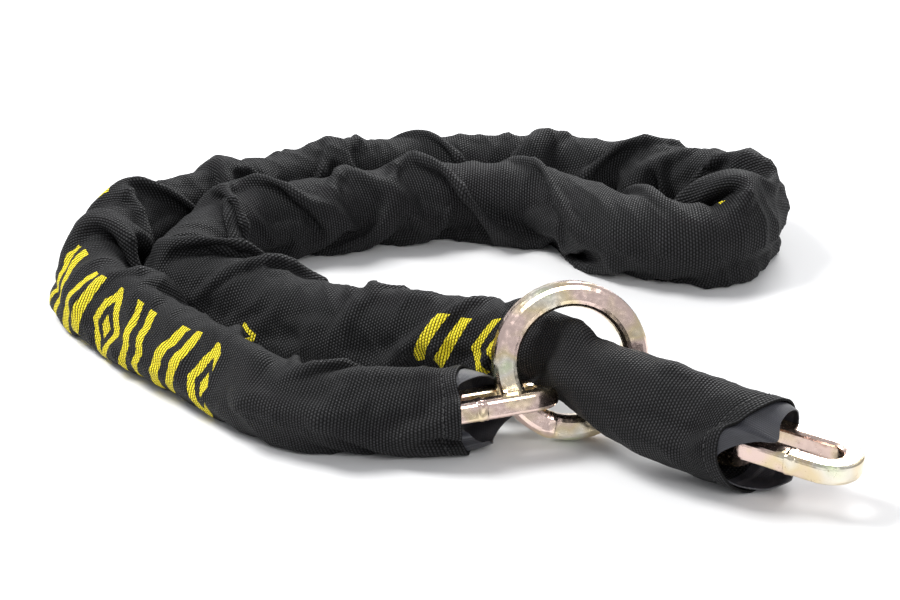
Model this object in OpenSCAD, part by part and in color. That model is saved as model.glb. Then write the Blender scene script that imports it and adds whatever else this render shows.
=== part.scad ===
// Noose chain lock lying in its loop: a 35-link hardened chain in a fabric sleeve, with a ring on
// its first link. The running end passes through the ring, and the last link takes a padlock.
// Links lie flat and stand upright in turn. Each connection keeps both bows concentric, so a flat
// link pitches about its own bow wire and an upright link turns about its own end wire.

/* [Chain] */
// Thickness of the square chain stock
stock = 8; // [7:0.5:8]
// Corner radius of the chain stock
stock_corner = 1.6; // [1:0.1:2]
// Clear length of a link's eye
eye_length = 40; // [39:0.5:41]
// Clear width of a link's eye
eye_width = 12; // [12:0.5:13]

/* [Ring] */
// Thickness of the ring stock
ring_stock = 10; // [8:0.5:10]
// Corner radius of the ring stock
ring_corner = 2.8; // [2:0.1:4]
// Outer diameter of the ring
ring_od = 63; // [62:0.5:64]
// Turn of the ring about the vertical
ring_yaw = 12.4; // [12:0.2:13]
// Lean of the ring away from upright
ring_lean = 16.4; // [16:0.2:17]

/* [Sleeve] */
// Thickness of the gathered fabric
sleeve_wall = 1.4; // [1:0.1:1.5]
// Thickness of the inner liner
liner_wall = 0.8; // [0.5:0.1:1]
// How far the liner stands out of the sleeve's mouths, in links
liner_reach = 0.2; // [0.2:0.2:0.4]

/* [Hidden] */
link_count = 35;
function link_name(k) =
    k == 1 ? "ring_link" : k == link_count ? "end_link" : str("chain_link_", k < 10 ? "0" : "", k);
// Places of the sleeve's two open mouths along the chain, counted in links
ring_mouth = 1.4;
tail_mouth = 34.6;
// Sleeve stretches: name, first and last place along the chain, counted in links
stretches = [
    ["sleeve_ring_end", ring_mouth, 6], ["sleeve_left_turn", 6, 10], ["fold_back_arm", 10, 11],
    ["sleeve_back_arm", 11, 12], ["fold_back_carrier", 12, 13], ["fold_back_lift", 13, 14],
    ["sleeve_back_run", 14, 17], ["sleeve_loop_tip", 17, 19.4], ["sleeve_middle_run", 19.4, 22],
    ["fold_middle_lift", 22, 23], ["fold_middle_carrier", 23, 24], ["sleeve_middle_arm_a", 24, 24.5],
    ["sleeve_middle_arm_b", 24.51, 25], ["fold_middle_arm", 25, 26], ["sleeve_inner_turn", 26, 29],
    ["sleeve_front_run", 29, 31.8], ["fold_tail", 33, 34], ["sleeve_tail_end", 34, tail_mouth],
];

// Each link's heading, pitch and roll in degrees, from the ring end to the tail end
lay = [
    [196, -2.7, 14], [180, 0, 100], [153, 0, 6], [128, 0, 92], [132, 0, 0], [126, 0, 90], [109, 0, 0],
    [83, 0, 90], [56, 0, 0], [41, 0, 90], [31, 0, 0], [22, 0, 90], [9, 0, 0], [-3, 0, 90], [-10, 0, 0],
    [-18, 0, 90], [-52, 0, 0], [-103, 0, 90], [-160, 0, 0], [144, 0, 90], [127, 0, 0], [177, 0, 90],
    [195, 0, 0], [202, 0, 90], [211, 0, 0], [247, 0, 90], [296, 0, 0], [331, 0, 90], [316, 4.5, 0],
    [334, 7, 90], [339, 6.5, 0], [310, 3.4, 90], [315, -4.8, 0], [332, -11, 90], [332, -5, 0],
];
// Middle of the first link's outer bow
first_bow = [38, -109.1, 18.95];
// The ring's middle
ring_centre = [56.9, -100.9, 31];
// Sleeve sizes along the chain: place, half width, half height, shift to the left of the run
girth = [
    [1, 21, 19.5, 0], [2, 20, 19, 0], [5, 19, 19, 0], [6, 19, 19, 1.5], [8, 19, 19, 3], [9, 19, 19, 1],
    [10, 18.5, 18.5, 0], [16, 19, 19, 0], [17, 20, 20, 1], [17.6, 20.5, 20, 4], [20, 20.5, 20.2, 4],
    [21, 20.5, 20, -0.5], [21.5, 21, 20, -3.5], [22.2, 20, 20, -0.5], [24, 20, 20.5, 0],
    [25.4, 20.4, 20, -0.8], [26, 19.5, 20, -1], [27, 19.9, 19.5, -2.6], [28, 19, 19, 0], [30, 19, 19, 0],
    [31, 19.6, 19.4, 0.5], [33, 18, 18, 0], [34, 20, 20, 0],
];
// How far the liner reaches into the sleeve, in links
liner_cover = 0.4;
rings_per_link = 5;
tangent_reach = 0.25;
sleeve_sides = 16;
zinc = [0.83, 0.74, 0.52];
cloth = [0.09, 0.09, 0.10];
lining = [0.22, 0.22, 0.24];

bow_radius = (eye_width + stock) / 2;
straight = eye_length - eye_width;
liner_inset = sleeve_wall + 0.4;
// Distance between an eye's bow wire and the wire of the link that it holds
reach = bow_radius;

function aim(k) = let (a = lay[k - 1]) [cos(a[0]) * cos(a[1]), sin(a[0]) * cos(a[1]), sin(a[1])];
function side(k) = let (a = lay[k - 1]) [-sin(a[0]), cos(a[0]), 0];
// Step from the last bow of link k to the first bow of link k + 1, in the plane of the flat one
function hook(k) =
    let (flat = k % 2 == 1 ? k : k + 1, other = 2 * k + 1 - flat,
         turn = lay[other - 1][0] - lay[flat - 1][0])
    reach * (cos(turn) * aim(flat) + sin(turn) * side(flat));
function step(k) = straight / 2 * (aim(k) + aim(k + 1)) + hook(k);
centres = [for (k = 1, c = first_bow + straight / 2 * aim(1); k <= link_count;
                c = c + (k < link_count ? step(k) : [0, 0, 0]), k = k + 1) c];

function clamped(k) = centres[max(1, min(link_count, k)) - 1];
// Smooth curve through the middles of the links
function along(u) =
    let (k = min(floor(u), link_count - 1), t = u - k, a = clamped(k - 1), b = clamped(k),
         c = clamped(k + 1), d = clamped(k + 2))
    b + t / 2 * (c - a) + t * t / 2 * (2 * a - 5 * b + 4 * c - d) + t * t * t / 2 * (3 * b - a - 3 * c + d);
function size(u) = [for (i = [1:3]) lookup(u, [for (g = girth) [g[0], g[i]]])];
function unit(v) = v / norm(v);
// One ring of sleeve points around place u, drawn in by the given amount
function hoop(u, inset) =
    let (s = size(u), fore = unit(along(u + tangent_reach) - along(u - tangent_reach)),
         left = unit(cross([0, 0, 1], fore)), up = cross(fore, left), p = along(u),
         c = [p[0], p[1], max(p[2], s[1])] + s[2] * left)
    [for (i = [0:sleeve_sides - 1]) let (a = 360 * i / sleeve_sides)
        c + (s[0] - inset) * cos(a) * left + (s[1] - inset) * sin(a) * up];

function rounded_square(w, r) =
    [for (q = [0:3], a = [0:30:90]) let (t = 90 * q + a, m = w / 2 - r)
        [m * (q == 0 || q == 3 ? 1 : -1) + r * cos(t), m * (q < 2 ? 1 : -1) + r * sin(t)]];

module link() {
    for (s = [-1, 1]) {
        translate([0, s * bow_radius, 0]) rotate([90, 0, 90])
            linear_extrude(straight, center = true) polygon(rounded_square(stock, stock_corner));
        translate([s * straight / 2, 0, 0]) rotate([0, 0, -90 * s])
            rotate_extrude(angle = 180, $fn = 48) translate([bow_radius, 0])
                polygon(rounded_square(stock, stock_corner));
    }
}

module placed_link(k) {
    a = lay[k - 1];
    color(zinc) translate(centres[k - 1]) rotate([a[2], -a[1], a[0]]) link();
}

module ring() {
    color(zinc) translate(ring_centre) rotate([0, 0, ring_yaw]) rotate([90 - ring_lean, 0, 0])
        rotate_extrude($fn = 96) translate([(ring_od - ring_stock) / 2, 0])
            polygon(rounded_square(ring_stock, ring_corner));
}

// Tube between two insets of the sleeve's outline, from place a to place b
module tube(a, b, outer, inner) {
    n = max(2, ceil((b - a) * rings_per_link));
    m = sleeve_sides;
    places = [for (i = [0:n]) a + (b - a) * i / n];
    points = [for (inset = [outer, inner]) each [for (u = places) each hoop(u, inset)]];
    skin = (n + 1) * m;
    function quad(p, q, r, s) = [[p, r, q], [p, s, r]];
    faces = [
        for (i = [0:n - 1], j = [0:m - 1]) let (k = (j + 1) % m) each concat(
            quad(i * m + j, i * m + k, (i + 1) * m + k, (i + 1) * m + j),
            quad(skin + i * m + j, skin + (i + 1) * m + j, skin + (i + 1) * m + k, skin + i * m + k)),
        for (j = [0:m - 1]) let (k = (j + 1) % m) each concat(
            quad(j, skin + j, skin + k, k),
            quad(n * m + j, n * m + k, skin + n * m + k, skin + n * m + j)),
    ];
    polyhedron(points, faces);
}

module stretch(s) color(cloth) tube(s[1], s[2], 0, sleeve_wall);

module liner(a, b) color(lining) tube(a, b, liner_inset, liner_inset + liner_wall);

for (k = [1:link_count]) placed_link(k);
ring();
for (s = stretches) stretch(s);
liner(ring_mouth - liner_reach, ring_mouth + liner_cover);  // liner_ring_end
liner(tail_mouth - liner_cover, tail_mouth + liner_reach);  // liner_tail_end
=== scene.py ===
"""Looks of the chain lock: the gathered fabric sleeve, its liner, the plated chain, and the studio."""
import math

import bmesh
import bpy
import numpy as np
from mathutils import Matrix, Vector


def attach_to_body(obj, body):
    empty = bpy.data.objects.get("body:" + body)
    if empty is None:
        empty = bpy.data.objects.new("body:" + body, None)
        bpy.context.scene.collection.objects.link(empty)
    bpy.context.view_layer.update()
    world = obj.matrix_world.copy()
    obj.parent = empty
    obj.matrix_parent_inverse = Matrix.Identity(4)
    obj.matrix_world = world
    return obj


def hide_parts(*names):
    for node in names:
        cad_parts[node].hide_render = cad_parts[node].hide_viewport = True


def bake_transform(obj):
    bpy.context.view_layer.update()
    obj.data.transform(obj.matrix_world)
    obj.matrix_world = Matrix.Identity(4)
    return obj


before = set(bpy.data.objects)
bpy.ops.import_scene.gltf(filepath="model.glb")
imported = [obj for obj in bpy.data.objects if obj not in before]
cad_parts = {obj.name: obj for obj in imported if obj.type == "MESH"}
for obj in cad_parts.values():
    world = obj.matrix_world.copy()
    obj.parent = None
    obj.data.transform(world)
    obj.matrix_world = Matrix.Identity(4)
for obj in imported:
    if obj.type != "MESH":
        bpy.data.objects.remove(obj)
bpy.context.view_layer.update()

MM = 0.001
SEED = 7

# ---------------------------------------------------------------- camera and studio

CAMERA_TARGET = Vector((0.0095, 0.0328, 0.0))
CAMERA_DISTANCE = 1.12
CAMERA_ELEVATION = math.radians(23)


def make_camera():
    data = bpy.data.cameras.new("camera")
    data.lens, data.sensor_width = 100, 36
    camera = bpy.data.objects.new("camera", data)
    back = Vector((0, -math.cos(CAMERA_ELEVATION), math.sin(CAMERA_ELEVATION)))
    camera.location = CAMERA_TARGET + back * CAMERA_DISTANCE
    camera.rotation_mode = "QUATERNION"
    camera.rotation_quaternion = (-back).to_track_quat("-Z", "Y")
    data.clip_start, data.clip_end = 0.05, 20
    bpy.context.scene.collection.objects.link(camera)
    bpy.context.scene.camera = camera


def make_light(name, location, target, size, power):
    data = bpy.data.lights.new(name, "AREA")
    data.shape, data.size, data.energy = "SQUARE", size, power
    light = bpy.data.objects.new(name, data)
    light.location = Vector(location)
    light.rotation_mode = "QUATERNION"
    light.rotation_quaternion = (Vector(location) - Vector(target)).to_track_quat("Z", "Y")
    bpy.context.scene.collection.objects.link(light)


def make_studio():
    world = bpy.data.worlds.new("studio")
    world.use_nodes = True
    world.node_tree.nodes["Background"].inputs["Color"].default_value = (0.95, 0.96, 1.0, 1)
    world.node_tree.nodes["Background"].inputs["Strength"].default_value = 0.5
    bpy.context.scene.world = world
    bpy.context.scene.view_settings.view_transform = "Standard"
    make_light("key_top_left", (-0.8, 0.25, 1.1), (0, 0, 0), 0.5, 22)
    make_light("fill_front", (0.5, -1.2, 0.9), (0, 0, 0), 0.6, 8)
    make_light("rim_back", (0.5, 1.2, 0.8), (0, 0.1, 0), 0.7, 18)


# ---------------------------------------------------------------- small helpers


class Field:
    """A shader value that arithmetic can be done on, one Math node per step."""

    def __init__(self, tree, socket):
        self.tree, self.socket = tree, socket

    def step(self, operation, *others):
        node = self.tree.nodes.new("ShaderNodeMath")
        node.operation = operation
        for slot, value in zip(node.inputs, (self, *others)):
            if isinstance(value, Field):
                self.tree.links.new(value.socket, slot)
            else:
                slot.default_value = value
        return Field(self.tree, node.outputs[0])

    def __add__(self, other):
        return self.step("ADD", other)

    def __sub__(self, other):
        return self.step("SUBTRACT", other)

    def __mul__(self, other):
        return self.step("MULTIPLY", other)

    def __truediv__(self, other):
        return self.step("DIVIDE", other)

    def __abs__(self):
        return self.step("ABSOLUTE")

    def below(self, other):
        return self.step("LESS_THAN", other)

    def above(self, other):
        return self.step("GREATER_THAN", other)

    def highest(self, other):
        return self.step("MAXIMUM", other)

    def floor(self):
        return self.step("FLOOR")

    def fraction(self):
        return self.step("FRACT")

    def sine(self):
        return self.step("SINE")


def new_material(name):
    material = bpy.data.materials.new(name)
    material.use_nodes = True
    tree = material.node_tree
    return material, tree, tree.nodes["Principled BSDF"]


def noise(tree, coordinate, scale, detail=3.0, roughness=0.5):
    node = tree.nodes.new("ShaderNodeTexNoise")
    node.inputs["Scale"].default_value = scale
    node.inputs["Detail"].default_value = detail
    node.inputs["Roughness"].default_value = roughness
    tree.links.new(coordinate, node.inputs["Vector"])
    return node


def ramp(tree, value, stops):
    node = tree.nodes.new("ShaderNodeValToRGB")
    elements = node.color_ramp.elements
    while len(elements) < len(stops):
        elements.new(0.5)
    for element, (place, colour) in zip(elements, stops):
        element.position = place
        element.color = (*colour, 1)
    tree.links.new(value, node.inputs["Fac"])
    return node.outputs["Color"]


def mixed(tree, factor, first, second):
    node = tree.nodes.new("ShaderNodeMix")
    node.data_type = "RGBA"
    for slot, value in (("Factor", factor), ("A", first), ("B", second)):
        socket = [s for s in node.inputs if s.name == slot and (slot == "Factor" or s.type == "RGBA")][0]
        if isinstance(value, bpy.types.NodeSocket):
            tree.links.new(value, socket)
        else:
            socket.default_value = (*value, 1)
    return [s for s in node.outputs if s.type == "RGBA"][0]


def bump(tree, shader, height, strength, distance, under=None):
    node = tree.nodes.new("ShaderNodeBump")
    node.inputs["Strength"].default_value = strength
    node.inputs["Distance"].default_value = distance
    tree.links.new(height, node.inputs["Height"])
    if under:
        tree.links.new(under, node.inputs["Normal"])
    tree.links.new(node.outputs["Normal"], shader.inputs["Normal"])
    return node.outputs["Normal"]


def object_coordinate(tree):
    return tree.nodes.new("ShaderNodeTexCoord").outputs["Object"]


def cloth_fields(tree):
    """Metres along the cloth, metres around it, and metres from the middle of the marking."""
    node = tree.nodes.new("ShaderNodeAttribute")
    node.attribute_name = "cloth"
    split = tree.nodes.new("ShaderNodeSeparateXYZ")
    tree.links.new(node.outputs["Vector"], split.inputs[0])
    return [Field(tree, socket) for socket in split.outputs], node.outputs["Vector"]


# ---------------------------------------------------------------- materials

RIB_PITCH = 1.25 * MM
THREAD_PITCH = 1.35 * MM
MOTIF_PITCH = 25 * MM
MOTIF_HALF_HEIGHT = 16 * MM


def weave(along, around, rib, thread):
    """Height of a ribbed plain weave, from 0 between the ribs to 1 on the threads."""
    row = (along / rib).floor()
    crown = (along * (math.pi / rib)).sine()
    knuckle = (around * (2 * math.pi / thread) + row * math.pi).sine() * 0.5 + 0.5
    return abs(crown) * (knuckle * 0.6 + 0.4)


def motif(along, across):
    """1 on the woven marking: two chevrons, a diamond in a diamond and two slanted bars in turn."""
    turn = (along / MOTIF_PITCH).floor()
    kind = ((turn + 0.25) / 3).fraction() * 3
    x = ((along / MOTIF_PITCH).fraction() - 0.5) * MOTIF_PITCH
    y = abs(across)
    chevron = abs(abs(x - y * 0.45 + 3.2 * MM) - 4.8 * MM).below(2.2 * MM)
    rhomb = abs(x) + y * 0.62
    diamond = abs(rhomb - 9 * MM).below(2.3 * MM).highest(rhomb.below(3.2 * MM))
    slant = x + across * 0.28
    bars = abs(abs(slant) - 5.2 * MM).below(2.7 * MM)
    first = kind.below(1)
    last = kind.above(2)
    middle = (first * -1 + 1) * (last * -1 + 1)
    shape = chevron * first + diamond * middle + bars * last
    return shape * y.below(MOTIF_HALF_HEIGHT)


def sleeve_material():
    material, tree, shader = new_material("sleeve_cloth")
    (along, around, across), place = cloth_fields(tree)
    height = weave(along, around, RIB_PITCH, THREAD_PITCH)
    mottle = noise(tree, object_coordinate(tree), 55, 4)
    # Painted shade: the base colour follows the weave height, near black between the ribs and lighter on the
    # thread crowns; random mottle then mixes two such blacks.
    black_groove_shaded = ramp(tree, height.socket, [(0.25, (0.0006,) * 3), (0.95, (0.040, 0.040, 0.043))])
    deeper_black_groove_shaded = ramp(tree, height.socket, [(0.25, (0.0004,) * 3), (0.95, (0.016, 0.016, 0.017))])
    mottled_groove_shade = mixed(tree, mottle.outputs["Fac"], black_groove_shaded, deeper_black_groove_shaded)
    # Painted shade: the marking's yellow darkens towards the grooves between the threads.
    yellow_groove_shaded = ramp(tree, height.socket, [(0.2, (0.22, 0.17, 0.004)), (0.5, (0.95, 0.80, 0.03))])
    marked = motif(along, across) * height.above(0.22)
    tree.links.new(mixed(tree, marked.socket, mottled_groove_shade, yellow_groove_shaded), shader.inputs["Base Color"])
    gloss = ramp(tree, height.socket, [(0.0, (0.9,) * 3), (1.0, (0.42,) * 3)])
    tree.links.new(gloss, shader.inputs["Roughness"])
    shader.inputs["Specular IOR Level"].default_value = 0.22
    slub = noise(tree, place, 900, 2)
    total = height + Field(tree, slub.outputs["Fac"]) * 0.25
    bump(tree, shader, total.socket, 1.0, 0.45 * MM)
    return material


def liner_material():
    material, tree, shader = new_material("liner_cloth")
    (along, around, _), place = cloth_fields(tree)
    height = weave(around, along, 0.8 * MM, 0.6 * MM)
    tint = noise(tree, place, 120, 2)
    # Painted shade: the base colour follows the weave height, darker between the threads.
    base = ramp(tree, height.socket, [(0.1, (0.022, 0.022, 0.028)), (0.9, (0.060, 0.062, 0.074))])
    shade = ramp(tree, tint.outputs["Fac"], [(0.3, (0.6,) * 3), (0.7, (1.0,) * 3)])
    node = tree.nodes.new("ShaderNodeMix")
    node.data_type, node.blend_type = "RGBA", "MULTIPLY"
    node.inputs["Factor"].default_value = 1
    colours = [s for s in node.inputs if s.type == "RGBA"]
    tree.links.new(base, colours[0])
    tree.links.new(shade, colours[1])
    tree.links.new([s for s in node.outputs if s.type == "RGBA"][0], shader.inputs["Base Color"])
    shader.inputs["Roughness"].default_value = 0.42
    bump(tree, shader, height.socket, 0.6, 0.15 * MM)
    return material


def plated_material(name, lightness):
    """Yellow iridescent zinc: pale gold with soft pink and green tints, lightly scuffed and dimpled."""
    material, tree, shader = new_material(name)
    place = object_coordinate(tree)
    tint = noise(tree, place, 42, 2, 0.5)
    gold, pink = (0.80, 0.66, 0.43), (0.83, 0.64, 0.57)
    green, silver = (0.68, 0.75, 0.50), (0.82, 0.77, 0.66)
    stops = [(0.30, green), (0.38, silver), (0.46, gold), (0.54, pink), (0.62, pink), (0.70, gold)]
    stops = [(at, tuple(c * lightness for c in colour)) for at, colour in stops]
    film = ramp(tree, tint.outputs["Fac"], stops)
    scuff = noise(tree, place, 500, 5, 0.7)
    stain = ramp(tree, scuff.outputs["Fac"], [(0.62, (0, 0, 0)), (0.72, (0.55,) * 3)])
    colour = mixed(tree, stain, film, (0.40 * lightness, 0.31 * lightness, 0.20 * lightness))
    tree.links.new(colour, shader.inputs["Base Color"])
    shader.inputs["Metallic"].default_value = 1
    rough = ramp(tree, scuff.outputs["Fac"], [(0.35, (0.13,) * 3), (0.75, (0.34,) * 3)])
    tree.links.new(rough, shader.inputs["Roughness"])
    wave = noise(tree, place, 110, 2)
    pits = noise(tree, place, 1500, 3)
    under = bump(tree, shader, wave.outputs["Fac"], 0.6, 0.9 * MM)
    bump(tree, shader, pits.outputs["Fac"], 0.15, 0.05 * MM, under)
    return material


def thread_material():
    if "thread" in bpy.data.materials:
        return bpy.data.materials["thread"]
    material, tree, shader = new_material("thread")
    twist = noise(tree, object_coordinate(tree), 1200, 2)
    colour = ramp(tree, twist.outputs["Fac"], [(0.3, (0.008,) * 3), (0.7, (0.04,) * 3)])
    tree.links.new(colour, shader.inputs["Base Color"])
    shader.inputs["Roughness"].default_value = 0.6
    return material


def floor_material():
    material, tree, shader = new_material("pale_floor")
    grain = noise(tree, object_coordinate(tree), 3, 2)
    colour = ramp(tree, grain.outputs["Fac"], [(0.3, (0.76, 0.76, 0.76)), (0.7, (0.80, 0.80, 0.80))])
    tree.links.new(colour, shader.inputs["Base Color"])
    shader.inputs["Roughness"].default_value = 0.7
    return material


# ---------------------------------------------------------------- the chain's route

LINKS = ["ring_link"] + [f"chain_link_{k:02d}" for k in range(2, 35)] + ["end_link"]
LINK_STRAIGHT, LINK_BOW, LINK_WIRE = 14 * MM, 10 * MM, 4.9 * MM


def node_points(name):
    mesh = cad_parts[name].data
    points = np.zeros(len(mesh.vertices) * 3)
    mesh.vertices.foreach_get("co", points)
    return points.reshape(-1, 3)


def link_frame(name):
    """A link's centre and its long, wide and thin directions, from its own shape."""
    points = node_points(name)
    centre = (points.min(0) + points.max(0)) / 2
    directions = np.linalg.eigh(np.cov((points - centre).T))[1].T[::-1]
    return centre, directions


POSES = [link_frame(name) for name in LINKS]
CENTRES = np.array([centre for centre, _ in POSES])


def along(u):
    """Smooth curve through the links' centres; whole numbers of u are links, from 1."""
    u = np.atleast_1d(np.asarray(u, float))
    k = np.clip(np.floor(u).astype(int), 1, len(LINKS) - 1)
    t = (u - k)[:, None]
    a, b, c, d = [CENTRES[np.clip(k + step, 0, len(LINKS) - 1)] for step in (-2, -1, 0, 1)]
    return b + t / 2 * (c - a) + t**2 / 2 * (2 * a - 5 * b + 4 * c - d) + t**3 / 2 * (3 * b - a - 3 * c + d)


# ---------------------------------------------------------------- the sleeve as cloth

RING_MOUTH, TAIL_MOUTH = 1.55, 34.4
RINGS, SIDES = 520, 48
CLOTH_THICKNESS = 0.9 * MM
HEM_DEPTH = 6.5 * MM
# Small creases: the share of their depth that lies below the cloth, and their height in mm
CREASE_MIDDLE, CREASE_HEIGHT = 0.35, 1.05
STITCH_PITCH, STITCH_LENGTH = 2.9 * MM, 2.1 * MM
STITCH_STEPS = 6
THREAD_RADIUS, THREAD_SIDES = 0.3 * MM, 8
# How far from a mouth its uneven rim still slides the hoops, in links
RIM_FADE = 0.55
# Uneven rims of the two mouths: angles around the run, and how far the cloth reaches out there, in mm
RING_RIM = ([0, 45, 90, 135, 180, 270, 315], [4, 1, -6, -4, -2, 0, 3])
TAIL_RIM = ([0, 60, 90, 120, 150, 180, 225, 270, 315], [3, 3, 1, -4, -8, -8, -4, 0, 2])
# Place along the chain, half width, half height, and shift to the left of the run, in mm
GIRTH = np.array([
    (1, 18.5, 18.5, -0.5), (2, 17.5, 17.5, -1.5), (4.5, 16.8, 16.8, -2.2), (6, 17.8, 17.8, -1),
    (8, 20, 19.5, 1.5), (9.8, 19, 19, 1), (10.4, 17.2, 19, 0), (13, 17.5, 19, 0), (14, 19, 19.5, 0),
    (16, 19.5, 19.5, 0),
    (17, 21, 21, 5), (17.6, 23, 22.5, 9), (18.1, 22, 20, 9.5), (18.6, 24, 23, 10), (19.2, 22, 20, 5),
    (19.7, 23.5, 22, 5), (20.5, 22, 21, 3), (21.6, 21, 21, -2), (22.4, 20.5, 21, 0), (23, 18, 20.5, 0),
    (25.5, 18, 20.5, 0), (26.4, 20, 20, -2), (27, 20.5, 20, -3.5), (28, 20, 19.5, 0),
    (31, 20, 19, 0), (31.9, 15, 16.5, 0), (32.5, 14.5, 15.5, 0),
    (33.3, 19.5, 19.5, 0), (35, 20.5, 20, 0),
])


# How freely the cloth folds: places along the chain, and shares from 0 to 1
CALM = ([1.4, 2.2, 5, 6, 31.4, 32, 33, 34, 34.6], [0.3, 0.65, 0.65, 1, 1, 0.35, 0.5, 0.45, 0.15])
# How far folds may stand out of the girth: places along the chain, and mm, less on the two arms
BULGE = ([10, 10.5, 13, 13.5, 22.5, 23, 25.8, 26.3], [3.2, 0.4, 0.4, 3.2, 3.2, 0.4, 0.4, 3.2])
# Cloth solver: steps, share of the speed kept, passes over the ties in a step, and overshoot
SOLVER_STEPS, KEPT_SPEED, TIE_PASSES, OVERSHOOT = 110, 0.86, 6, 2.2


def size_at(u):
    return [np.interp(u, GIRTH[:, 0], GIRTH[:, column]) * MM for column in (1, 2, 3)]


def rows(v):
    return v / np.linalg.norm(v, axis=-1, keepdims=True)


def cloth_frame(u):
    """Centres, left and up directions and sizes of the sleeve's hoops."""
    wide, high, shift = size_at(u)
    ahead = rows(along(u + 0.25) - along(u - 0.25))
    left = rows(np.cross([0, 0, 1], ahead))
    up = np.cross(ahead, left)
    centre = along(u) + shift[:, None] * left
    centre[:, 2] = np.maximum(centre[:, 2], high - 1.0 * MM)
    return centre, ahead, left, up, wide, high


def even_places():
    dense = np.linspace(RING_MOUTH, TAIL_MOUTH, 6000)
    run = np.r_[0, np.cumsum(np.linalg.norm(np.diff(along(dense), axis=0), axis=1))]
    return np.interp(np.linspace(0, run[-1], RINGS), run, dense), run[-1]


def folds(u, angle, random, count, waves, twists, size):
    """Random long waves over the sleeve: along it in links, around it in whole turns."""
    total = 0
    for _ in range(count):
        pitch, turns = random.uniform(*waves), random.integers(*twists)
        fade = 0.5 + 0.5 * np.sin(u / random.uniform(1.5, 4) + random.uniform(0, 7))
        total = total + fade * np.sin(2 * math.pi * u / pitch + turns * angle + random.uniform(0, 7))
    return total * size / math.sqrt(count)


def creases(length, around, u, calm, random):
    """Sharp small wrinkles, mostly across the run, from 0 in their valleys to 1 on their crowns."""
    total, weight = 0, 0
    for _ in range(14):
        pitch, lean = random.uniform(9, 24) * MM, random.normal(0, 0.55)
        wander = 2.2 * np.sin(length / (random.uniform(20, 45) * MM) + random.uniform(0, 7))
        bend = np.sin(around / (random.uniform(9, 16) * MM) + wander)
        phase = (length + lean * around + 2.5 * MM * bend) / pitch + random.uniform(0, 1)
        where = np.sin(length / (random.uniform(12, 30) * MM) + random.uniform(0, 7))
        where = where * np.sin(around / (random.uniform(14, 22) * MM) + random.uniform(0, 7))
        share = np.clip(where - 0.1, 0, 1) ** 1.5
        total = total + share * (1 - np.abs(np.sin(math.pi * phase)) ** 0.7)
        weight = weight + 0.35 * share
    return calm * total / np.maximum(weight, 0.6)


def push_off_links(points, u, spare=1.9 * MM):
    """Moves cloth points out of the chain links that they lie over, and clear of them by spare."""
    for k, (centre, (long_way, wide_way, thin_way)) in enumerate(POSES, 1):
        near = np.abs(u - k) < 1.1
        p = points[near]
        d = p - centre
        x, y, z = d @ long_way, d @ wide_way, d @ thin_way
        ex = np.sign(x) * np.maximum(np.abs(x) - LINK_STRAIGHT, 0)
        radial = np.hypot(ex, y)
        safe = np.maximum(radial, 1e-9)
        off = radial - LINK_BOW
        gap = np.hypot(off, z)
        safe_gap = np.maximum(gap, 1e-9)
        push = np.maximum(LINK_WIRE + spare - gap, 0)[..., None]
        flat = (ex / safe)[..., None] * long_way + (y / safe)[..., None] * wide_way
        away = (off / safe_gap)[..., None] * flat + (z / safe_gap)[..., None] * thin_way
        points[near] = p + push * away
    return points


def simulate_sleeve():
    """A tube of cloth longer than its chain, which buckles into folds around it."""
    random = np.random.default_rng(SEED)
    u, run = even_places()
    centre, ahead, left, up, wide, high = cloth_frame(u)
    angle = np.arange(SIDES) * 2 * math.pi / SIDES
    spread = np.cos(angle)[None, :, None] * left[:, None] * wide[:, None, None]
    rise = np.sin(angle)[None, :, None] * up[:, None] * high[:, None, None]
    spoke = spread + rise
    reach = np.linalg.norm(spoke, axis=2, keepdims=True)
    grid_u, grid_a = np.broadcast_to(u[:, None], (RINGS, SIDES)), np.broadcast_to(angle, (RINGS, SIDES))
    seedling = folds(grid_u, grid_a, random, 10, (0.8, 1.9), (-2, 3), 1.0)
    points = centre[:, None] + spoke * (0.95 + 0.055 * seedling)[..., None]
    calm = np.interp(u, *CALM)
    slack = 1 + calm * (0.17 + 0.05 * np.sin(u * 1.7) + 0.03 * np.sin(u * 0.53 + 1))
    step_along = run / (RINGS - 1) * slack
    step_around = 2 * math.pi * np.sqrt((wide**2 + high**2) / 2) / SIDES * 1.015
    points = relax(points, u, centre, ahead, reach, step_along, step_around, calm)
    cloth_length = np.r_[0, np.cumsum((step_along[1:] + step_along[:-1]) / 2)]
    cloth_width = step_around * SIDES
    return u, points, cloth_length, cloth_width, calm


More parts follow.
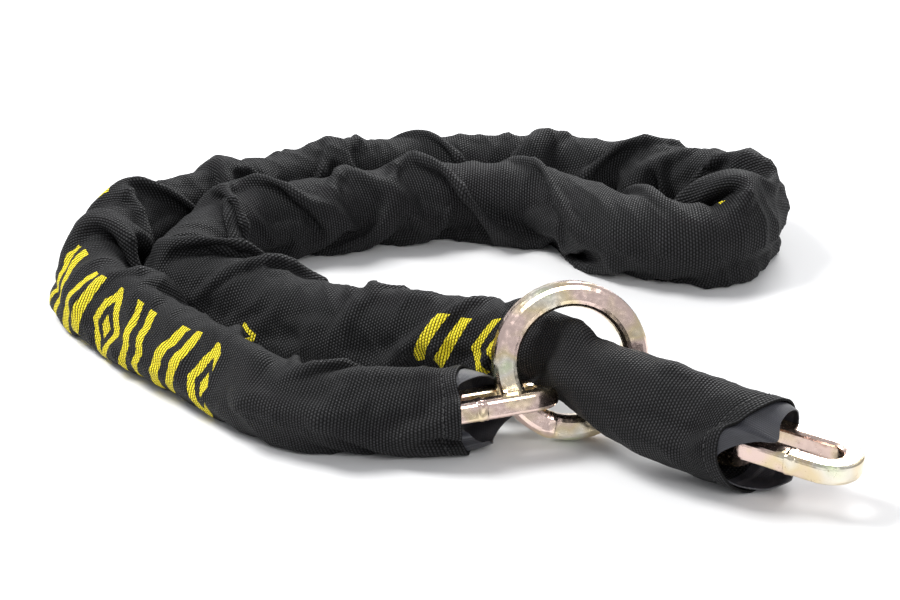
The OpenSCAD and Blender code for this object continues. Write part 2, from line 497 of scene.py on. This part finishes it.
def relax(points, u, centre, ahead, reach, step_along, step_around, calm):
    """Settles the tube: pulls it to its cut size, inside its girth and clear of links and ground."""
    # Each tie: hoops and sides that it spans, its length, and how strongly it holds
    mid = (step_along[1:] + step_along[:-1])[:, None] / 2
    ties = [
        (1, 0, mid, 1.0), (0, 1, step_around[:, None], 0.9),
        (1, 1, np.hypot(mid, step_around[1:, None]), 0.35),
        (1, -1, np.hypot(mid, step_around[1:, None]), 0.35),
        (3, 0, step_along[3:, None] * 3, 0.16), (0, 3, step_around[:, None] * 2.97, 0.10),
        (7, 0, step_along[7:, None] * 7, 0.035),
    ]
    before = points.copy()
    grid_u = np.broadcast_to(u[:, None], points.shape[:2])
    inner = (0.76 + 0.14 * (1 - calm))[:, None, None] * reach
    outer = reach + (0.8 + np.interp(u, *BULGE) * calm)[:, None, None] * MM
    for _ in range(SOLVER_STEPS):
        drift = (points - before) * KEPT_SPEED
        before = points.copy()
        points = points + drift
        points[..., 2] -= 0.02 * MM
        for _ in range(TIE_PASSES):
            total, weight = np.zeros_like(points), np.zeros(points.shape[:2] + (1,))
            for rows_on, sides_on, rest, hold in ties:
                first = points[: len(points) - rows_on]
                second = np.roll(points, -sides_on, 1)[rows_on:]
                gap = second - first
                length = np.linalg.norm(gap, axis=2)
                pull = gap * (hold * 0.5 * (1 - rest / length))[..., None]
                total[: len(points) - rows_on] += pull
                total[rows_on:] -= np.roll(pull, sides_on, 1)
                weight[: len(points) - rows_on] += hold
                weight[rows_on:] += hold
            points = points + total / weight * OVERSHOOT
        out = points - centre[:, None]
        lean = (out * ahead[:, None]).sum(2, keepdims=True) * ahead[:, None]
        out = out - lean
        length = np.linalg.norm(out, axis=2, keepdims=True)
        points = centre[:, None] + out * np.clip(length, inner, outer) / length + lean
        points = push_off_links(points, grid_u)
        points[..., 2] = np.maximum(points[..., 2], 0.4 * MM)
    return points


def finer(points, closed):
    """Twice as many points along the first axis, on a smooth curve through them."""
    if closed:
        before, after, last = np.roll(points, 1, 0), np.roll(points, -1, 0), np.roll(points, -2, 0)
    else:
        before = np.concatenate([points[:1], points[:-1]])
        after = np.concatenate([points[1:], points[-1:]])
        last = np.concatenate([points[2:], points[-1:], points[-1:]])
    half = (9 * (points + after) - before - last) / 16
    both = np.stack([points, half], 1).reshape(-1, *points.shape[1:])
    return both if closed else both[:-1]


# ---------------------------------------------------------------- meshes


def surface_normals(grid):
    """Outward normals of a tube given as rings of points."""
    ahead = np.gradient(grid, axis=0)
    around = np.roll(grid, -1, 1) - np.roll(grid, 1, 1)
    return rows(np.cross(around, ahead))


def shell(name, outer, inner, normals, cloth, material):
    """A closed tube wall: two skins and a rim at each end. cloth gives each corner's place."""
    n, m = outer.shape[:2]
    points = np.concatenate([outer.reshape(-1, 3), inner.reshape(-1, 3)])
    base = n * m
    i, j = np.meshgrid(np.arange(n - 1), np.arange(m), indexing="ij")
    i, j = i.ravel(), j.ravel()
    k = (j + 1) % m
    a, b, c, d = i * m + j, i * m + k, (i + 1) * m + k, (i + 1) * m + j
    ring = np.arange(m)
    after = (ring + 1) % m
    end = (n - 1) * m
    faces = np.concatenate([
        np.stack([a, b, c, d], 1), base + np.stack([a, d, c, b], 1),
        np.stack([ring, base + ring, base + after, after], 1),
        np.stack([end + ring, end + after, base + end + after, base + end + ring], 1),
    ])
    mesh = bpy.data.meshes.new(name)
    mesh.from_pydata(points.tolist(), [], faces.tolist())
    columns = np.concatenate([
        np.stack([j, j + 1, j + 1, j], 1), np.stack([j, j, j + 1, j + 1], 1),
        np.stack([ring, ring, ring + 1, ring + 1], 1), np.stack([ring, ring + 1, ring + 1, ring], 1),
    ])
    lines = (faces % base) // m
    places = cloth(lines, columns)
    attribute = mesh.attributes.new("cloth", "FLOAT_VECTOR", "CORNER")
    attribute.data.foreach_set("vector", places.reshape(-1).astype(np.float32))
    both = np.concatenate([normals.reshape(-1, 3), -normals.reshape(-1, 3)])
    corner = both[faces]
    one_way = points[faces[:, 2]] - points[faces[:, 0]]
    other_way = points[faces[:, 3]] - points[faces[:, 1]]
    flat = rows(np.cross(one_way, other_way))
    corner[-2 * m:] = flat[-2 * m:, None]
    mesh.polygons.foreach_set("use_smooth", np.ones(len(faces), bool))
    mesh.normals_split_custom_set(corner.reshape(-1, 3).tolist())
    mesh.materials.append(material)
    obj = bpy.data.objects.new(name, mesh)
    bpy.context.scene.collection.objects.link(obj)
    return obj


# ---------------------------------------------------------------- the sleeve's pieces

# Piece, first and last place, bodies, and the CAD nodes that it stands for
SLEEVE_PIECES = [
    ("sleeve_left", RING_MOUTH, 10, ["root"], ["sleeve_ring_end", "sleeve_left_turn"]),
    ("sleeve_bend_back_arm", 10, 11, ["root", "back_arm"], ["fold_back_arm"]),
    ("sleeve_on_back_arm", 11, 12, ["back_arm"], ["sleeve_back_arm"]),
    ("sleeve_bend_back_carrier", 12, 13, ["back_arm", "carrier"], ["fold_back_carrier"]),
    ("sleeve_bend_back_lift", 13, 14, ["carrier", "loop_end"], ["fold_back_lift"]),
    ("sleeve_loop", 14, 22, ["loop_end"], ["sleeve_back_run", "sleeve_loop_tip", "sleeve_middle_run"]),
    ("sleeve_bend_middle_lift", 22, 23, ["loop_end", "carrier"], ["fold_middle_lift"]),
    ("sleeve_bend_middle_carrier", 23, 24, ["carrier", "middle_arm_outer"], ["fold_middle_carrier"]),
    ("sleeve_on_middle_arm_outer", 24, 24.5, ["middle_arm_outer"], ["sleeve_middle_arm_a"]),
    ("sleeve_on_middle_arm_inner", 24.5, 25, ["middle_arm_inner"], ["sleeve_middle_arm_b"]),
    ("sleeve_bend_middle_arm", 25, 26, ["middle_arm_inner", "root"], ["fold_middle_arm"]),
    ("sleeve_front", 26, 32, ["root"], ["sleeve_inner_turn", "sleeve_front_run"]),
    ("sleeve_neck", 32, 33, ["root", "tail_base"], []),
    ("sleeve_bend_tail", 33, 34, ["tail_base", "tail_tip"], ["fold_tail"]),
    ("sleeve_tail", 34, TAIL_MOUTH, ["tail_tip"], ["sleeve_tail_end"]),
]
# Stretches that show the marking: first and last place, its middle's angle at both ends, and its size
MARKED = [(4.15, 9.4, 10, 20, 1.1), (28.45, 28.62, 185, 185, 0.3), (30.5, 31.6, 156, 148, 0.72),
          (18.9, 19.05, 78, 78, 0.25)]


def marking_offset(u, angle, width):
    """Metres around the cloth from the marking's middle, and far away on faces without a marking."""
    offset = np.ones_like(angle)
    face_u = u.min(1, keepdims=True)
    for first, last, start, end, scale in MARKED:
        middle = np.radians(np.interp(u, [first, last], [start, end]))
        turn = (angle - middle + math.pi) % (2 * math.pi) - math.pi
        turn = turn - 2 * math.pi * np.round((turn - turn[:, :1]) / (2 * math.pi))
        shown = (face_u >= first) & (face_u <= last)
        offset = np.where(shown, turn / (2 * math.pi) * width / scale, offset)
    return offset


def rim_reach(rim, angle):
    """How far an uneven rim reaches out at each angle, with its corners rounded off."""
    reach = np.interp(angle, np.radians(rim[0]), np.array(rim[1]) * MM, period=2 * math.pi)
    for _ in range(3):
        reach = (np.roll(reach, 2) + np.roll(reach, 1) + reach + np.roll(reach, -1) + np.roll(reach, -2)) / 5
    return reach


def trimmed(grid, u):
    """Cuts the two mouths to their uneven rims, by sliding the last hoops along the run."""
    angle = np.arange(grid.shape[1]) * 2 * math.pi / grid.shape[1]
    ahead = rows(along(u + 0.1) - along(u - 0.1))[:, None]
    for mouth, outward, rim in ((RING_MOUTH, -1, RING_RIM), (TAIL_MOUTH, 1, TAIL_RIM)):
        slide = rim_reach(rim, angle)
        near = np.clip(1 - np.abs(u - mouth) / RIM_FADE, 0, 1)
        fade = near**2 * (3 - 2 * near)
        grid = grid + outward * ahead * (fade[:, None] * slide)[..., None]
    return grid


def make_stitches(name, body, skin, normals, length):
    """A row of short stitches around the hem, each an arched thread with its ends in the cloth."""
    at = np.interp(HEM_DEPTH, length, np.arange(len(length)))
    low, part = int(at), at % 1
    line = skin[low] * (1 - part) + skin[low + 1] * part
    out = rows(normals[low] * (1 - part) + normals[low + 1] * part)
    steps = np.linalg.norm(np.diff(line, axis=0, append=line[:1]), axis=1)
    place = np.r_[0, np.cumsum(steps)]
    count = int(place[-1] / STITCH_PITCH)
    line, out = np.concatenate([line, line[:1]]), np.concatenate([out, out[:1]])
    points, faces = [], []
    spin = np.arange(THREAD_SIDES) * 2 * math.pi / THREAD_SIDES
    for stitch in range(count):
        start = stitch * place[-1] / count
        shares = np.linspace(0, 1, STITCH_STEPS + 1)
        run = (start + shares * STITCH_LENGTH) % place[-1]
        middle = np.stack([np.interp(run, place, line[:, axis]) for axis in range(3)], 1)
        up = rows(np.stack([np.interp(run, place, out[:, axis]) for axis in range(3)], 1))
        middle = middle + up * ((np.sin(shares * math.pi) * 0.75 - 0.35) * THREAD_RADIUS * 2)[:, None]
        ahead = rows(np.gradient(middle, axis=0))
        left = rows(np.cross(up, ahead))
        radius = THREAD_RADIUS * np.sqrt(np.maximum(1 - (2 * shares - 1) ** 4, 0.08))
        loop = np.cos(spin)[:, None] * left[:, None] + np.sin(spin)[:, None] * up[:, None]
        loop = loop * radius[:, None, None]
        base = len(points)
        points.extend((middle[:, None] + loop).reshape(-1, 3).tolist())
        for low_end in range(base, base + STITCH_STEPS * THREAD_SIDES, THREAD_SIDES):
            high_end = low_end + THREAD_SIDES
            for j in range(THREAD_SIDES):
                k = (j + 1) % THREAD_SIDES
                faces.append([high_end + j, high_end + k, low_end + k, low_end + j])
        faces.append([base + j for j in range(THREAD_SIDES)])
        faces.append([base + STITCH_STEPS * THREAD_SIDES + j for j in reversed(range(THREAD_SIDES))])
    mesh = bpy.data.meshes.new(name)
    mesh.from_pydata(points, [], faces)
    mesh.polygons.foreach_set("use_smooth", [True] * len(faces))
    work = bmesh.new()
    work.from_mesh(mesh)
    bmesh.ops.recalc_face_normals(work, faces=work.faces)
    work.to_mesh(mesh)
    work.free()
    mesh.materials.append(thread_material())
    obj = bpy.data.objects.new(name, mesh)
    bpy.context.scene.collection.objects.link(obj)
    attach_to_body(obj, body)


def make_sleeve(material):
    u, points, length, width, calm = simulate_sleeve()
    fine = finer(finer(points, False).transpose(1, 0, 2), True).transpose(1, 0, 2)
    fine_u = finer(u[:, None], False)[:, 0]
    fine_length = np.interp(fine_u, u, length)
    fine_width = np.interp(fine_u, u, width)
    sides = fine.shape[1]
    around = np.arange(sides) / sides * fine_width[:, None]
    ripple = creases(fine_length[:, None], around, fine_u, np.interp(fine_u, u, calm)[:, None],
                     np.random.default_rng(SEED + 1))
    fine = trimmed(fine, fine_u)
    from_mouth = np.minimum(fine_length, fine_length[-1] - fine_length)[:, None]
    past_hem = (from_mouth - HEM_DEPTH) / MM
    hem = 0.3 * np.clip(-past_hem, 0, 1) - 0.4 * np.exp(-(past_hem**2))
    raised = (ripple - CREASE_MIDDLE) * CREASE_HEIGHT + hem
    fine = fine + surface_normals(fine) * (raised * MM)[..., None]
    fine = push_off_links(fine, np.broadcast_to(fine_u[:, None], fine.shape[:2]))
    fine[..., 2] = np.maximum(fine[..., 2], 0.3 * MM)
    normals = surface_normals(fine)
    inner = fine - normals * CLOTH_THICKNESS
    for name, first, last, bodies, nodes in SLEEVE_PIECES:
        start, stop = np.abs(fine_u - first).argmin(), np.abs(fine_u - last).argmin() + 1
        span = slice(start, stop)

        def cloth(lines, columns, start=start):
            place_u, place_width = fine_u[start + lines], fine_width[start + lines]
            angle = columns * 2 * math.pi / sides
            across = marking_offset(place_u, angle, place_width)
            around_cloth = angle / (2 * math.pi) * fine_width.mean()
            return np.stack([fine_length[start + lines], around_cloth, across], 2)

        piece = shell(name, fine[span], inner[span], normals[span], cloth, material)
        attach(piece, bodies, fine[span])
        if nodes:
            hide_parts(*nodes)
        flat = (float(fine_width[span].mean()), float(fine_length[stop - 1] - fine_length[start]))
    from_tail = fine_length[-1] - fine_length[::-1]
    make_stitches("stitches_at_ring", "root", fine, normals, fine_length)
    make_stitches("stitches_at_tail", "tail_tip", fine[::-1], normals[::-1], from_tail)
    return inner, fine_u


def attach(piece, bodies, grid):
    """Rides on one body; a piece that spans two bodies is only baked in place and rides on neither."""
    if len(bodies) == 1:
        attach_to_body(piece, bodies[0])
        return
    start, end = grid[0].mean(0), grid[-1].mean(0)
    way = rows(end - start)
    low = ((grid[0] - start) @ way).max()
    high = ((grid[-1] - start) @ way).min()
    start + way * low
    start + way * high
    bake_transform(piece)


# ---------------------------------------------------------------- the liner's two ends

# Liner end: its CAD node and body, whether it is at the sleeve's first mouth, how strongly it closes
# in past the mouth, and how far its rim reaches past the mouth in mm, by angle around the run
LINERS = [
    ("liner_at_ring", "liner_ring_end", "root", True, 7,
     ([0, 40, 80, 110, 150, 185, 215, 250, 275, 300, 340], [-3, -3, 0, 9, 18, 22, 14, 8, 10, 9, 0])),
    ("liner_at_tail", "liner_tail_end", "tail_tip", False, 9,
     ([0, 40, 80, 105, 128, 150, 175, 200, 250, 280, 310, 340], [2, 3, 5, 8, 15, 9, 0, -4, 1, 12, 8, 2])),
]
LINER_THICKNESS = 0.5 * MM
LINER_ROWS = 36
LINER_COVER = 9 * MM
LINER_SLACK = 0.7 * MM
LINER_FLUTTER = 0.5 * MM
LINER_LEAN = 0.03
# Hoops of the sleeve that a liner end follows, and the hoop that gives the mouth's direction
LINER_HOOPS, MOUTH_HOOP = 60, 30


def make_liners(material, sleeve, u):
    """Each end follows the sleeve's inner face up to the mouth, then leans out of it in uneven tongues."""
    for name, node, body, at_start, closing, rim in LINERS:
        grid = sleeve[:LINER_HOOPS] if at_start else sleeve[-LINER_HOOPS:][::-1]
        mouth = grid[0]
        sides = len(mouth)
        angle = np.arange(sides) * 2 * math.pi / sides
        reach = rim_reach(rim, angle)
        depth = np.r_[0, np.cumsum(np.linalg.norm(np.diff(grid.mean(1), axis=0), axis=1))]
        middle = mouth.mean(0)
        outward = rows(middle - grid[MOUTH_HOOP].mean(0))
        lines = []
        for share in np.linspace(0, 1, LINER_ROWS):
            past = -LINER_COVER + share * (LINER_COVER + reach)
            under = np.clip(-past, 0, None)
            at = np.interp(under, depth, np.arange(len(depth)))
            low = np.minimum(at.astype(int), len(grid) - 2)
            part = (at - low)[:, None]
            columns = np.arange(sides)
            points = grid[low, columns] * (1 - part) + grid[low + 1, columns] * part
            beyond = np.clip(past, 0, None)[:, None]
            centre = middle + outward * beyond - outward * under[:, None]
            spoke = points + outward * beyond - centre
            spoke = spoke - (spoke @ outward)[:, None] * outward * (beyond > 0)
            radius = np.linalg.norm(spoke, axis=1, keepdims=True)
            wave = np.sin(5 * angle + 140 * past)[:, None]
            flutter = LINER_FLUTTER * wave * np.clip(beyond / (8 * MM), 0, 1)
            kept = radius - LINER_SLACK - beyond * closing * LINER_LEAN - flutter - beyond**2 * closing
            lines.append(centre + (points + outward * beyond - centre) * kept / radius)
        tube = np.array(lines)
        if at_start:
            tube = tube[::-1]
        place = float(np.round(u[0] if at_start else u[-1]))
        for link in (place, place - 1):
            tube = push_off_links(tube, np.full(tube.shape[:2], link), 0.6 * MM)
        tube[..., 2] = np.maximum(tube[..., 2], 0.9 * MM)
        normals = surface_normals(tube)
        width = float(np.linalg.norm(np.diff(mouth, axis=0, append=mouth[:1]), axis=1).sum())

        def cloth(lines, columns, width=width, sides=sides):
            place = np.stack([lines * (1.8 * LINER_COVER / LINER_ROWS), columns * width / sides], 2)
            return np.concatenate([place, np.ones(lines.shape + (1,))], 2)

        piece = shell(name, tube, tube - normals * LINER_THICKNESS, normals, cloth, material)
        if at_start:
            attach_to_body(piece, body)
        else:
            start, end = middle - outward * 4 * MM, middle + outward * 14 * MM
            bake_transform(piece)
        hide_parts(node)


# ---------------------------------------------------------------- weld beads

STOCK_CORNER = 1.6 * MM
RING_STOCK, RING_CORNER = 10 * MM, 2.8 * MM


def rounded_outline(half, corner, count):
    """Points and outward directions around a rounded square."""
    angle = (np.arange(count) + 0.5) * 2 * math.pi / count
    turn = np.floor(angle / (math.pi / 2)) * math.pi / 2 + math.pi / 4
    swing = np.clip((angle - turn) * 2.6, -math.pi / 4, math.pi / 4) + turn
    middle = (half - corner) * np.stack([np.sign(np.cos(turn)), np.sign(np.sin(turn))], 1)
    out = np.stack([np.cos(swing), np.sin(swing)], 1)
    straight = np.stack([np.cos(angle), np.sin(angle)], 1)
    straight = straight / np.abs(straight).max(1, keepdims=True) * half
    points = np.where(np.abs(angle - turn)[:, None] * 2.6 < math.pi / 4, middle + corner * out, straight)
    return points, out


def weld(name, body, place, half, corner, material, width, random):
    """A raised uneven bead around the stock. place(t) gives the stock's centre and two cross directions."""
    outline, out = rounded_outline(half, corner, 64)
    lines = []
    for t in np.linspace(-1, 1, 21):
        centre, first, second = place(t * width / 2)
        angle = np.arange(64) * 2 * math.pi / 64
        crown = max(0.0, 1 - t * t) ** 0.5
        lump = 0.75 + 0.18 * np.sin(3 * angle + 5 * t + random.uniform(0, 0.6))
        lump = lump + 0.1 * np.sin(7 * angle - 4 * t)
        high = -0.15 * MM + (0.15 * MM + 0.4 * MM * lump) * crown
        flat = outline + out * high[:, None]
        lines.append(centre + flat[:, :1] * first + flat[:, 1:] * second)
    grid = np.array(lines)
    normals = surface_normals(grid)
    if ((grid[10] - grid[10].mean(0)) * normals[10]).sum() < 0:
        grid = grid[:, ::-1]
        normals = surface_normals(grid)

    def cloth(lines, columns):
        return np.stack([lines * 0.1 * MM, columns * 0.3 * MM, np.ones_like(lines * 1.0)], 2)

    piece = shell(name, grid, grid - normals * 0.3 * MM, normals, cloth, material)
    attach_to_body(piece, body)


def make_welds(material, ring_material):
    random = np.random.default_rng(SEED + 3)
    ends = (("ring_link", "ring_link_swivel", -6 * MM), ("end_link", "end_link_swing", 4 * MM))
    for name, body, reach in ends:
        centre, (long_way, wide_way, thin_way) = link_frame(name)
        if long_way[0] < 0:
            long_way = -long_way
        if wide_way[1] > 0:
            wide_way = -wide_way

        start = centre + LINK_BOW * wide_way

        def place(t, start=start, axes=(long_way, wide_way, thin_way), reach=reach):
            return start + (reach + t) * axes[0], axes[1], axes[2]

        weld("weld_" + name, body, place, 4 * MM, STOCK_CORNER, material, 4.5 * MM, random)
    centre, (_, _, axis) = link_frame("ring")
    reach = np.linalg.norm(node_points("ring") - centre, axis=1).max() - RING_STOCK / 2
    down = rows(np.array([0, 0, -1.0]) - axis * -axis[2])
    side = np.cross(axis, down)

    def ring_place(t):
        turn = math.radians(-24) + t / reach
        out = math.cos(turn) * down + math.sin(turn) * side
        return centre + out * reach, out, axis

    half = RING_STOCK / 2
    weld("weld_ring", "ring_loop", ring_place, half, RING_CORNER, ring_material, 5.5 * MM, random)


# ---------------------------------------------------------------- main

make_camera()
make_studio()
sleeve_inside, sleeve_places = make_sleeve(sleeve_material())
make_liners(liner_material(), sleeve_inside, sleeve_places)

plated = plated_material("plated_chain", 0.97)
plated_ring = plated_material("plated_ring", 1.15)
for name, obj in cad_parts.items():
    if name in LINKS or name == "ring":
        for slot in obj.material_slots:
            slot.material = plated_ring if name == "ring" else plated
make_welds(plated, plated_ring)

bpy.ops.mesh.primitive_plane_add(size=6, location=(0, 0, 0))
floor = bpy.context.object
floor.name = "floor"
floor.data.materials.append(floor_material())
